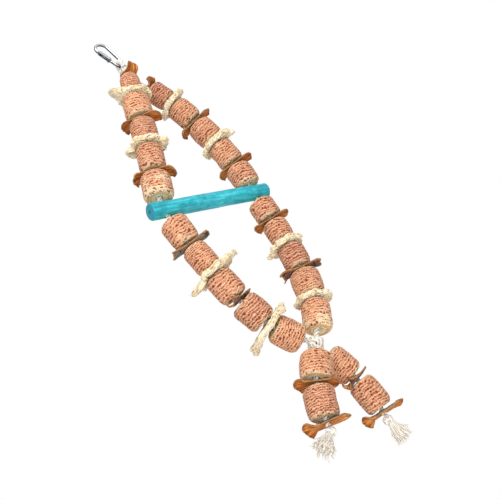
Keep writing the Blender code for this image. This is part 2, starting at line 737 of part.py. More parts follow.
# Lower rope: both legs and the three turns of the knot where they cross are one piece
knot_spot = place(plan["knot"], 0.0)
turns = []
for k, (lean, swing) in enumerate(((75.0, 20.0), (80.0, 85.0), (25.0, 140.0))):
    matrix = Matrix.Translation(knot_spot) @ Matrix.Rotation(math.radians(swing), 4, "Z")
    matrix = matrix @ Matrix.Rotation(math.radians(lean), 4, "X")
    bpy.ops.mesh.primitive_torus_add(major_segments=12, minor_segments=7,
                                     major_radius=knot_turn_radius, minor_radius=rope_radius)
    mesh = bpy.context.object.data
    bpy.data.objects.remove(bpy.context.object, do_unlink=True)
    turns.append(put("knot_turn_" + str(k + 1), mesh, cotton, matrix))
knotted_rope = turns[0]
knotted_rope.name = "knotted_lower_rope"
for tool in turns[1:] + [baked(leg) for leg in lower_legs]:
    boolean(knotted_rope, make_cutter(tool), "UNION")

# Perch with a hole for each strand
axis = Vector((plan["along"].x, 0.0, plan["along"].y))
down = Vector((plan["down"].x, 0.0, plan["down"].y))
holes = [place(p, 0.0) + down * perch_radius for p in plan["holes"]]
perch_length = (holes[1] - holes[0]).length + 2 * perch_overhang
perch_frame = frame_along(axis, (holes[0] + holes[1]) / 2)
perch = rod("perch", perch_radius, perch_length, 24, perch_material, perch_frame)
edge = perch.modifiers.new("end edges", "BEVEL")
edge.width = perch_chamfer
edge.segments = 1
edge.limit_method = "ANGLE"
edge.angle_limit = math.radians(60.0)
for side, spot in zip(strand_sides, holes):
    across = frame_along(-down, spot)
    drill = rod(side + "_perch_hole", hole_radius, 4 * perch_radius, 16, perch_material, across)
    boolean(perch, make_cutter(drill))

# Round pieces are shaded smooth
for ob in parts.objects:
    if ob.type == "MESH":
        ob.data.shade_smooth()
        ob.data.set_sharp_from_angle(angle=math.radians(40.0))
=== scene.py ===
"""Looks of the hanging bird chew toy, built round its CAD frame (metres, +Z up)."""
import json
import math

import bmesh
import bpy
import numpy as np
from mathutils import Matrix, Vector

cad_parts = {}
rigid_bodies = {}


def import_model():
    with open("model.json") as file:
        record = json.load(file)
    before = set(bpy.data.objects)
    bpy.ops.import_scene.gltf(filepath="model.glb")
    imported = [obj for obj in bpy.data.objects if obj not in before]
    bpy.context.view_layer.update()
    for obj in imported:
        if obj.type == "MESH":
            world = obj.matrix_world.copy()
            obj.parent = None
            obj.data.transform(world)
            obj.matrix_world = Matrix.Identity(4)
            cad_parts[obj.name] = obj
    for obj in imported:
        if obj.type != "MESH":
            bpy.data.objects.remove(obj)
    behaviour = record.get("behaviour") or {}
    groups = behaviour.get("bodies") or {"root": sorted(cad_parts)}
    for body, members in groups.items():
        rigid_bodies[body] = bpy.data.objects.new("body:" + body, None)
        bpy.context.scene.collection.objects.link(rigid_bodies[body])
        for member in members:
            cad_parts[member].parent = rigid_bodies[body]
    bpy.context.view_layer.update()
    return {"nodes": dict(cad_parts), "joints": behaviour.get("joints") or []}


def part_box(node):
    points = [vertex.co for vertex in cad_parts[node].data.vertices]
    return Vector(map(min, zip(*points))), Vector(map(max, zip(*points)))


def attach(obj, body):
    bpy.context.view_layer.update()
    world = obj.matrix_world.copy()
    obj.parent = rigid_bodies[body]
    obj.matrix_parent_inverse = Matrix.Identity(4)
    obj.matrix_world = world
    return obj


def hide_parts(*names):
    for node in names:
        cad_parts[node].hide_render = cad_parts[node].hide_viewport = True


for ob in list(bpy.data.objects):
    bpy.data.objects.remove(ob, do_unlink=True)

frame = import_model()
joints = {j["child"]: j for j in frame["joints"]}

# Colour of each cob from the top of its strand: 0 is peach, 1 is terracotta. The first right cob's full
# terracotta is partly its own colour and partly painted shade, for the shade it sits in behind the top of
# the left strand
cob_tone_and_shade = {
    "left": [0.50, 0.00, 0.70, 0.45, 0.25, 0.30, 0.25, 0.35, 0.75, 0.15, 0.25, 0.70],
    "right": [1.00, 0.25, 0.55, 0.25, 0.45, 0.60, 0.55, 0.95, 0.30, 0.20, 0.25, 0.30],
}
# How much of each cob is covered by cream chaff
cob_cream = {
    "left": [0.10, 0.40, 0.15, 0.20, 0.55, 0.20, 0.12, 0.15, 0.20, 0.30, 0.20, 0.25],
    "right": [0.00, 0.30, 0.15, 0.25, 0.25, 0.10, 0.12, 0.15, 0.18, 0.55, 0.20, 0.25],
}
# How much narrower the top of the first left cob is
cob_taper = 0.16
# Weathered grey of each bark chip's outer side
bark_grey = {
    "left": [0.1, 0.2, 0.1, 0.9, 0.3, 0.7, 0.4],
    "right": [0.8, 0.2, 0.2, 0.1, 0.2, 0.3, 0.8],
}
# Bark chips: reach, droop and twist of both ends, the side that the edges curl to, and turn about the rope
bark_reach = {
    "left": [(0.0210, 0.0110), (0.0255, 0.0255), (0.0265, 0.0265), (0.0245, 0.0245),
             (0.0195, 0.0200), (0.0235, 0.0235), (0.0250, 0.0250)],
    "right": [(0.0135, 0.0180), (0.0245, 0.0245), (0.0240, 0.0240), (0.0230, 0.0230),
              (0.0250, 0.0250), (0.0230, 0.0210), (0.0250, 0.0250)],
}
bark_droop = {
    "left": [(-68, 0), (38, 28), (45, 52), (8, 0), (15, 10), (38, 25), (10, 24)],
    "right": [(0, -45), (36, 14), (32, 10), (32, 5), (45, 20), (18, 0), (6, 0)],
}
bark_twist = {
    "left": [(0, 0), (0, 0), (0, 0), (0, 0), (0, 0), (34, 10), (52, 0)],
    "right": [(0, 52), (10, 0), (0, 0), (14, 0), (12, 0), (0, 0), (54, 12)],
}
bark_curl = {"left": [-1, -1, -1, 1, 1, -1, -1], "right": [-1, -1, -1, -1, 1, 1, -1]}
bark_turn = {"left": [112, -40, -30, -25, 20, -30, -38], "right": [-35, -35, -42, -40, -30, 15, -45]}
bark_bend = [0.0060] + [0.0178] * 6
bark_width = [0.0170] + [0.0220] * 6
bark_thickness = 0.0024
bark_curl_radius = 0.0266
bark_end_curl_radius = 0.0090
bark_taper = 0.12
bark_point = 0.16
# Narrower waist of the chips between two cobs, and how far it reaches, which is also how far the painted
# shade on the chips' middle reaches
bark_waist = 0.16
bark_waist_reach = 0.0115
# Depth of torn ends and fissures, height of lumps and fibres
bark_torn = (0.0009, 0.0008)
bark_fissure = 0.0008
bark_lump = 0.0003
bark_fibre = 0.00022
# How far the corners of each chip's ends are rounded away
bark_round = {
    "left": [0.0040, 0.0008, 0.0008, 0.0016, 0.0022, 0.0060, 0.0065],
    "right": [0.0030, 0.0010, 0.0010, 0.0020, 0.0010, 0.0050, 0.0065],
}
# The two chips that close to a quill at one end, and the quill's radius
bark_quills = ("left_bark_5", "right_bark_6")
quill_radius = 0.0050
# The chip that is dark along its whole length, through the same dark brown mix as the painted shade on the
# chips' middles
dark_chip = "right_bark_1"
# Loofah slices: radius of the flat middle, depth of the notches in the ends, fibres on the skin
loofah_flat = 0.0144
loofah_notch = 0.0095
loofah_fibres = 190
# How much further each end of a loofah slice sags than its solid
loofah_sag = {
    "left": [(-0.0130, 0.0005), (0.0020, 0.0010), (0.0025, -0.0015), (0.0020, 0.0010)],
    "right": [(0.0025, -0.0010), (0.0020, 0.0005), (0.0020, 0.0005), (0.0010, 0.0010)],
}
# Direction of each slice's lobes about the rope
loofah_turn = {"left": [-40, -35, -40, -45], "right": [-30, -40, -35, -40]}
# Fibres that stick out of the ends of a loofah slice
loose_fibres = 44
# Cobs: rounding of the ends, spacing and depth of the sockets, ragged rims and lumps
cob_end_inset = 0.0040
kernel_pitch = 0.0029
kernel_depth = 0.0009
cob_rim = 0.0003
cob_lump = 0.0005
# Rope: length of one lay, spacing of the rings of its mesh, share of its thickness in the strands
rope_lay = 0.015
rope_step = 0.0008
rope_thin = 0.98
# Offset and radius of each of the rope's strands, as shares of its radius
strand_offset = 0.47
strand_radius = 0.53
# How far from a knot's middle the rope that enters it ends
knot_inset = 0.0035
stopper_inset = 0.0058
# Yarns in a tassel
tassel_yarns = 170
# Perch: rounding of its ends, room round the rope in its holes
perch_round = 0.0016
hole_clearance = 0.0008
# Snap hook and knot
wire_radius = 0.0018
hook_length = 0.042
hook_bow_radius = 0.0082
hook_eye_radius = 0.0054
hook_lean = 21.0
knot_turn_radius = 0.0065
knot_turns = ((75.0, 20.0), (80.0, 85.0), (25.0, 140.0))
# Distance from the knot's middle to where each tail starts
tail_gap = 0.0119
# Floor, light and the photograph's camera: angles in degrees, focal length in pixels of its frame
floor_height = -0.95
floor_radius = 0.7
world_light = 0.55
light_target = (0.01, 0.0, -0.28)
camera_spot = (-0.46899, -0.56709, -0.56582)
camera_turn = {"yaw": 40.413, "pitch": 18.675, "roll": -34.731}
focal_px = 741.11
frame_px = 500.0


# Small tools

def srgb(text):
    parts = [int(text[i:i + 2], 16) / 255 for i in (0, 2, 4)]
    return tuple(c / 12.92 if c <= 0.04045 else ((c + 0.055) / 1.055) ** 2.4 for c in parts)


def unit(v):
    v = np.asarray(v, float)
    return v / np.linalg.norm(v)


def circle(count):
    """Even angles of a full turn."""
    return np.arange(count) * 2 * math.pi / count


def polar(r, angle, z):
    """Points from radius, angle and height."""
    return np.stack([r * np.cos(angle), r * np.sin(angle), z], 1)


def hashed(i, j, k, seed):
    n = i * 374761393 + j * 668265263 + k * 1103515245 + seed * 144665
    n = (n ^ (n >> 13)) * 1274126177
    return ((n ^ (n >> 16)) & 0xFFFF) / 65535.0


def wobble(points, size, seed=0):
    """Smooth noise from -1 to 1 with features of the given size."""
    q = np.asarray(points, float) / size
    cell = np.floor(q).astype(np.int64)
    f = q - cell
    f = f * f * (3 - 2 * f)
    total = np.zeros(len(q))
    for dx in (0, 1):
        for dy in (0, 1):
            for dz in (0, 1):
                w = (f[:, 0] if dx else 1 - f[:, 0]) * (f[:, 1] if dy else 1 - f[:, 1])
                w = w * (f[:, 2] if dz else 1 - f[:, 2])
                total += w * hashed(cell[:, 0] + dx, cell[:, 1] + dy, cell[:, 2] + dz, seed)
    return 2 * total - 1


def node_points(name):
    mesh = frame["nodes"][name].data
    co = np.empty(len(mesh.vertices) * 3)
    mesh.vertices.foreach_get("co", co)
    return co.reshape(-1, 3)


def spot_of(name):
    return np.array(joints[name]["pos_m"])


def rows_along(up):
    """Three axes: in the toy's plane, depth and the given direction."""
    right = unit(np.cross((0, 1, 0), up))
    return np.stack([right, np.cross(up, right), up])


def bead_frame(name):
    """Spot of a threaded piece and its axes, the last one up the rope."""
    return spot_of(name), rows_along(unit(joints[name]["axis"]))


def to_local(points, spot, rows):
    return (points - spot) @ rows.T


def to_world(points, spot, rows):
    return points @ rows + spot


def add_object(name, data):
    ob = bpy.data.objects.new(name, data)
    bpy.context.scene.collection.objects.link(ob)
    return ob


def build(name, points, faces, looks, facts, indices=None):
    """Mesh object from arrays, with float or vector facts on its points."""
    mesh = bpy.data.meshes.new(name)
    mesh.from_pydata(points.tolist(), [], faces)
    for key, value in facts.items():
        value = np.asarray(value, np.float32)
        kind = "FLOAT_VECTOR" if value.ndim == 2 else "FLOAT"
        layer = mesh.attributes.new(key, kind, "POINT")
        layer.data.foreach_set("vector" if value.ndim == 2 else "value", value.ravel())
    for look in looks:
        mesh.materials.append(look)
    if indices is not None:
        mesh.polygons.foreach_set("material_index", np.asarray(indices, np.int32))
    mesh.polygons.foreach_set("use_smooth", [True] * len(mesh.polygons))
    mesh.validate()
    return add_object(name, mesh)


def grid_faces(rows, cols, wrap_rows=False, wrap_cols=True):
    faces = []
    for i in range(rows if wrap_rows else rows - 1):
        a = i * cols
        b = ((i + 1) % rows) * cols
        for k in range(cols if wrap_cols else cols - 1):
            n = (k + 1) % cols
            faces.append((a + k, b + k, b + n, a + n))
    return faces


def tube_faces(rows, sides):
    """Faces of a tube that is closed at both ends, turned outwards."""
    faces = [f[::-1] for f in grid_faces(rows, sides)]
    return faces + [tuple(reversed(range(sides))), tuple(range((rows - 1) * sides, rows * sides))]


def join(pieces):
    """Several sets of points, faces and facts as one."""
    points = np.vstack([p[0] for p in pieces])
    faces, start = [], 0
    for p in pieces:
        faces += [tuple(i + start for i in f) for f in p[1]]
        start += len(p[0])
    facts = {key: np.concatenate([p[2][key] for p in pieces]) for key in pieces[0][2]}
    return points, faces, facts


def dress(ob, body, node):
    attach(ob, body)
    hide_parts(node)
    return ob


def smooth_line(points, step):
    """Curve through the points, resampled at an even step."""
    p = np.asarray(points, float)
    p = np.vstack([2 * p[0] - p[1], p, 2 * p[-1] - p[-2]])
    fine = []
    for i in range(1, len(p) - 2):
        t = np.linspace(0, 1, 25)[:, None]
        a, b, c, d = p[i - 1], p[i], p[i + 1], p[i + 2]
        seg = 0.5 * (2 * b + (c - a) * t + (2 * a - 5 * b + 4 * c - d) * t ** 2
                     + (3 * b - a - 3 * c + d) * t ** 3)
        fine.append(seg if i == 1 else seg[1:])
    return even_line(np.vstack(fine), step)


def even_line(line, step):
    gaps = np.linalg.norm(np.diff(line, axis=0), axis=1)
    s = np.concatenate([[0], np.cumsum(gaps)])
    count = max(3, int(round(s[-1] / step)) + 1)
    t = np.linspace(0, s[-1], count)
    return np.stack([np.interp(t, s, line[:, k]) for k in range(3)], 1)


def carried_frames(line, closed=False):
    """Two unit normals at each point of a line, carried along without twist."""
    if closed:
        tangent = np.roll(line, -1, 0) - np.roll(line, 1, 0)
    else:
        tangent = np.gradient(line, axis=0)
    tangent = tangent / np.linalg.norm(tangent, axis=1)[:, None]
    first = np.empty_like(line)
    n = np.array((0.0, 1.0, 0.0) if abs(tangent[0][1]) < 0.8 else (1.0, 0.0, 0.0))
    for i, t in enumerate(tangent):
        n = n - t * (n @ t)
        n = n / np.linalg.norm(n)
        first[i] = n
    return first, np.cross(tangent, first)


def swept(line, first, second, r, angle):
    """Rings of points round a line, with radii and angles for each ring."""
    return (line[:, None, :] + (r * np.cos(angle))[:, :, None] * first[:, None, :]
            + (r * np.sin(angle))[:, :, None] * second[:, None, :]).reshape(-1, 3)


# Materials

class Look:
    """A node material put together step by step."""

    def __init__(self, name, rough, metal=0.0, sheen=0.0, specular=0.5):
        self.mat = bpy.data.materials.new(name)
        self.mat.use_nodes = True
        self.tree = self.mat.node_tree
        self.shader = self.tree.nodes["Principled BSDF"]
        self.fill(self.shader, {"Roughness": rough, "Metallic": metal, "Sheen Weight": sheen,
                                "Specular IOR Level": specular})

    def fill(self, node, inputs):
        """Give a node's inputs numbers, colours written as text, or outputs of other nodes."""
        for key, value in inputs.items():
            if isinstance(value, bpy.types.NodeSocket):
                self.tree.links.new(value, node.inputs[key])
            else:
                node.inputs[key].default_value = (*srgb(value), 1.0) if isinstance(value, str) else value

    def node(self, kind, inputs):
        n = self.tree.nodes.new(kind)
        self.fill(n, inputs)
        return n

    def fact(self, name, vector=False):
        n = self.node("ShaderNodeAttribute", {})
        n.attribute_name = name
        return n.outputs["Vector" if vector else "Fac"]

    def noise(self, scale, detail=3.0, rough=0.55, along=None, warp=0.0):
        if along is None:
            along = self.node("ShaderNodeTexCoord", {}).outputs["Object"]
        n = self.node("ShaderNodeTexNoise", {"Vector": along, "Scale": scale, "Detail": detail,
                                             "Roughness": rough, "Distortion": warp})
        return n.outputs["Fac"]

    def ramp(self, value, *stops):
        n = self.node("ShaderNodeValToRGB", {"Fac": value})
        marks = n.color_ramp.elements
        while len(marks) < len(stops):
            marks.new(0.5)
        for mark, (at, colour) in zip(marks, stops):
            mark.position = at
            mark.color = (*srgb(colour), 1.0) if isinstance(colour, str) else (colour, colour, colour, 1.0)
        return n.outputs["Color"]

    def mix(self, fac, a, b):
        n = self.node("ShaderNodeMix", {})
        n.data_type = "RGBA"
        self.fill(n, {0: fac, 6: a, 7: b})
        return n.outputs[2]

    def maths(self, how, a, b=0.0):
        n = self.node("ShaderNodeMath", {0: a, 1: b})
        n.operation = how
        return n.outputs[0]

    def paint(self, colour):
        self.fill(self.shader, {"Base Color": colour})

    def roughen(self, value):
        self.fill(self.shader, {"Roughness": value})

    def bump(self, height, strength, distance):
        n = self.node("ShaderNodeBump", {"Strength": strength, "Distance": distance, "Height": height})
        self.fill(self.shader, {"Normal": n.outputs["Normal"]})


def cob_look():
    look = Look("dried_corn_cob", 0.88, sheen=0.1, specular=0.25)
    grit = look.noise(1500.0, 4.0, 0.65)
    patch = look.noise(260.0, 3.0, 0.6)
    # Cob tone from peach to terracotta, which for the first right cob also holds painted shade
    body = look.mix(look.fact("tone_and_shade"), "D88C5E", "9A3E20")
    body = look.mix(look.ramp(patch, (0.40, 0.0), (0.72, 0.40)), body, "E2A473")
    rims = look.maths("MULTIPLY", look.fact("band"), look.ramp(grit, (0.36, 0.08), (0.58, 0.92)))
    body = look.mix(rims, body, "FADBB6")
    body = look.mix(look.ramp(grit, (0.53, 0.0), (0.68, 0.65)), body, "FADDBC")
    body = look.mix(look.ramp(grit, (0.35, 0.90), (0.48, 0.0)), body, "7C2F15")
    body = look.mix(look.fact("cream"), body, "EFDCB4")
    body = look.mix(look.ramp(look.fact("pit"), (0.08, 0.0), (0.52, 0.90)), body, "7E2C12")
    face = look.ramp(look.fact("ring"), (0.28, "F1E4C4"), (0.50, "EAD6A9"), (0.56, "C9A270"),
                     (0.68, "E3C594"), (0.80, "D79A78"), (0.97, "EFD0AE"))
    face = look.mix(look.ramp(grit, (0.35, 0.5), (0.6, 0.0)), face, "B98557")
    look.paint(look.mix(look.fact("face"), body, face))
    look.bump(grit, 0.6, 0.0006)
    return look.mat


def bark_look():
    look = Look("bark", 0.82, specular=0.3)
    grain = look.fact("grain", vector=True)
    fibre = look.noise(1.0, 4.0, 0.6, along=grain, warp=0.3)
    speck = look.noise(900.0, 4.0, 0.65)
    inner = look.ramp(fibre, (0.36, "642A0E"), (0.46, "B05A1C"), (0.55, "D08438"), (0.66, "EDB46E"))
    inner = look.mix(look.fact("border"), inner, "5A2A12")
    inner = look.mix(look.ramp(speck, (0.55, 0.0), (0.75, 0.5)), inner, "8C4217")
    # Painted shade: the inner side turns dark brown in the middle, where the chip is pressed between two
    # cobs
    inner = look.mix(look.fact("middle"), inner, "54290F")
    brown = look.ramp(speck, (0.30, "3A2018"), (0.50, "6B3D29"), (0.70, "945C42"))
    grey = look.ramp(speck, (0.30, "514640"), (0.50, "84776C"), (0.70, "A89B8E"))
    outer = look.mix(look.fact("grey"), brown, grey)
    outer = look.mix(look.ramp(look.fact("fissure"), (0.1, 0.0), (0.8, 0.8)), outer, "241712")
    colour = look.mix(look.fact("side"), inner, outer)
    cut = look.ramp(fibre, (0.35, "7A4822"), (0.65, "CE9A5C"))
    look.paint(look.mix(look.fact("edge"), colour, cut))
    look.bump(look.mix(0.5, fibre, speck), 0.55, 0.0006)
    return look.mat


def loofah_look():
    look = Look("loofah", 0.9, sheen=0.25, specular=0.2)
    patch = look.noise(260.0, 4.0, 0.6)
    thread = look.noise(1000.0, 3.0, 0.6, warp=0.8)
    colour = look.ramp(patch, (0.34, "D2B682"), (0.47, "EEDCB6"), (0.60, "FAF1DC"))
    # Painted shade: the sponge's holes are coloured darker brown
    colour = look.mix(look.ramp(look.fact("pit"), (0.12, 0.0), (0.7, 0.80)), colour, "AC8656")
    look.paint(look.mix(look.ramp(thread, (0.40, 0.25), (0.60, 0.0)), colour, "DABD8A"))
    look.bump(thread, 0.7, 0.0006)
    return look.mat


def rope_look():
    look = Look("cotton_rope", 0.92, sheen=0.35, specular=0.2)
    fuzz = look.noise(2600.0, 3.0, 0.6)
    # Painted shade in the grooves between the rope's strands, with fuzz
    shade = look.maths("ADD", look.fact("strand_shade"), look.maths("MULTIPLY", fuzz, 0.25))
    look.paint(look.ramp(shade, (0.10, "FAF7F1"), (0.55, "F1ECE3"), (1.0, "CFC7BA")))
    yarn = look.maths("SINE", look.maths("MULTIPLY", look.fact("lay"), 2 * math.pi))
    look.bump(look.maths("ADD", yarn, look.maths("MULTIPLY", fuzz, 1.5)), 0.55, 0.00035)
    return look.mat


def yarn_look():
    look = Look("cotton_yarn", 0.95, sheen=0.2, specular=0.1)
    fuzz = look.noise(900.0, 3.0, 0.6)
    # Painted shade, darker towards the yarns' roots
    shade = look.maths("ADD", look.fact("strand_shade"), look.maths("MULTIPLY", fuzz, 0.5))
    look.paint(look.ramp(shade, (0.15, "EFE9DF"), (0.70, "D8CFC2")))
    return look.mat


def perch_look():
    look = Look("stained_wood", 0.5, specular=0.4)
    grain = look.fact("grain", vector=True)
    line = look.noise(1.0, 5.0, 0.65, along=grain, warp=0.4)
    blotch = look.noise(95.0, 3.0, 0.6)
    colour = look.ramp(line, (0.30, "0A788A"), (0.44, "1EA4B2"), (0.58, "38BECA"), (0.72, "78D8DC"))
    colour = look.mix(look.ramp(blotch, (0.36, 0.55), (0.56, 0.0)), colour, "108092")
    worn = look.ramp(look.noise(420.0, 4.0, 0.7), (0.63, 0.0), (0.74, 1.0))
    worn = look.maths("MULTIPLY", worn, look.fact("wear"))
    colour = look.mix(worn, colour, "BFE9EA")
    rings = look.maths("SINE", look.maths("MULTIPLY", look.fact("ring"), 22.0))
    grown = look.mix(look.ramp(rings, (0.0, 0.0), (1.0, 0.35)), "178AA0", "0A6076")
    grown = look.mix(look.ramp(look.fact("ring"), (0.16, 0.9), (0.28, 0.0)), grown, "084C5E")
    look.paint(look.mix(look.fact("face"), colour, grown))
    look.roughen(look.ramp(line, (0.3, 0.62), (0.7, 0.42)))
    look.bump(line, 0.35, 0.0005)
    return look.mat


def steel_look():
    look = Look("zinc_plated_steel", 0.22, metal=1.0)
    haze = look.noise(500.0, 4.0, 0.6)
    plate = look.ramp(haze, (0.3, "A6A9AC"), (0.7, "DADCDE"))
    # Painted dark reflection along the flanks, over the plated colour with haze
    look.paint(look.mix(look.ramp(look.fact("flank_reflection"), (0.45, 0.0), (0.85, 0.9)), plate, "3C3E41"))
    look.roughen(look.ramp(haze, (0.3, 0.16), (0.75, 0.34)))
    look.bump(look.noise(1500.0, 2.0), 0.08, 0.0002)
    return look.mat


cob_mat, bark_mat, loofah_mat = cob_look(), bark_look(), loofah_look()
rope_mat, yarn_mat = rope_look(), yarn_look()
perch_mat, steel_mat = perch_look(), steel_look()


# Threaded pieces

def make_cob(name, side, number, seed):
    """Corn-cob segment: rings of kernel sockets between ragged chaff rims, and rounded cut ends."""
    spot, rows = bead_frame(name)
    local = to_local(node_points(name), spot, rows)
    reach = np.hypot(local[:, 0], local[:, 1])
    radius, bore = reach.max(), reach.min()
    half = local[:, 2].max()
    pitch = kernel_pitch * (0.88 + 0.34 * hashed(seed, 3, 5, 1))
    around = int(round(2 * math.pi * radius / (1.08 * pitch)))
    rings = int(round(2 * half / pitch))
    cols = 6 * around
    outer = rings * 6 + 1
    steps = np.linspace(0, 1, 7)[:-1]
    flat = radius - cob_end_inset
    skin_z = half * np.linspace(0.985, -0.985, outer)
    skin_r = radius - cob_end_inset * np.abs(skin_z / half) ** 7
    profile = [(bore + (flat - bore) * t, half, 1.0) for t in steps] + [(flat, half, 0.7)]
    profile += [(r, z, 0.0) for r, z in zip(skin_r, skin_z)]
    profile += [(flat, -half, 0.7)] + [(bore + (flat - bore) * t, -half, 1.0) for t in steps[::-1]]
    profile = np.array(profile)
    n = len(profile)
    angle = np.tile(circle(cols), n)
    r = np.repeat(profile[:, 0], cols)
    z = np.repeat(profile[:, 1], cols)
    face = np.repeat(profile[:, 2], cols)
    place = polar(r, angle, z) + 0.3 * seed
    jog = angle + 0.13 * wobble(place, 0.006, 1)
    level = (z + half) / (2 * half) * rings + 0.6 * wobble(place, 0.006, 2) + 0.30 * np.sin(angle + seed)
    level = level + 0.25 * wobble(place, 0.0026, 11)
    ring = np.floor(level).astype(np.int64)
    column = jog * around / (2 * math.pi) + 0.5 * (ring % 2)
    cell = np.floor(column).astype(np.int64) % around
    loose = [hashed(ring, cell, np.full_like(ring, seed), k) for k in range(4)]
    du = column % 1.0 - 0.5 + 0.40 * (loose[0] - 0.5)
    dv = level - ring - 0.5 + 0.40 * (loose[1] - 0.5) + 0.7 * du * du
    size = 0.50 + 0.85 * loose[2]
    pit = np.exp(-np.abs(du / (0.40 * size)) ** 2.5 - np.abs(dv / (0.22 * size)) ** 2.5)
    pit = pit * np.clip(1.5 * loose[3] + 0.05, 0, 1)
    band = np.clip(np.abs(2 * (level - ring - 0.5)), 0, 1) ** 2
    ragged = wobble(place, 0.0017, 4)
    skin = 1.0 - face
    lift = skin * (-kernel_depth * pit + cob_rim * band + cob_rim * ragged * (0.4 + 0.6 * band) - 0.0002)
    lift += (cob_lump * wobble(place, 0.010, 5) - 0.0001) * (r / radius) ** 2
    dish = 0.0005 * wobble(place, 0.0024, 6) - 0.0006 * (r < 0.55 * flat) - 0.0004
    taper = cob_taper if name == "left_cob_1" else 0.0
    radial = (r + lift) * (1 - taper * (0.5 + 0.5 * z / half) * r / radius)
    up = z + np.sign(z) * face * dish
    local = polar(radial, angle, up)
    cream = cob_cream[side][number]
    chaff = wobble(place, 0.009, 7) + 0.6 * wobble(place, 0.003, 8) - 0.9 * z / half
    cover = np.clip((chaff + 3.0 * cream - 1.6) * 1.2, 0, 1) * (0.35 + 0.65 * cream)
    edge = np.clip((np.abs(z) - half + 0.0034) / 0.0026, 0, 1) * (0.5 + 0.3 * wobble(place, 0.004, 9))
    facts = {"pit": pit * skin, "band": band * skin, "face": (face > 0.5) * 1.0, "ring": r / radius,
             "tone_and_shade": np.clip(cob_tone_and_shade[side][number] + 0.25 * wobble(place, 0.010, 10), 0, 1),
             "cream": np.clip(np.maximum(cover, edge), 0, 1)}
    faces = grid_faces(n, cols, wrap_rows=True)
    return build(name + "_look", to_world(local, spot, rows), faces, [cob_mat], facts)


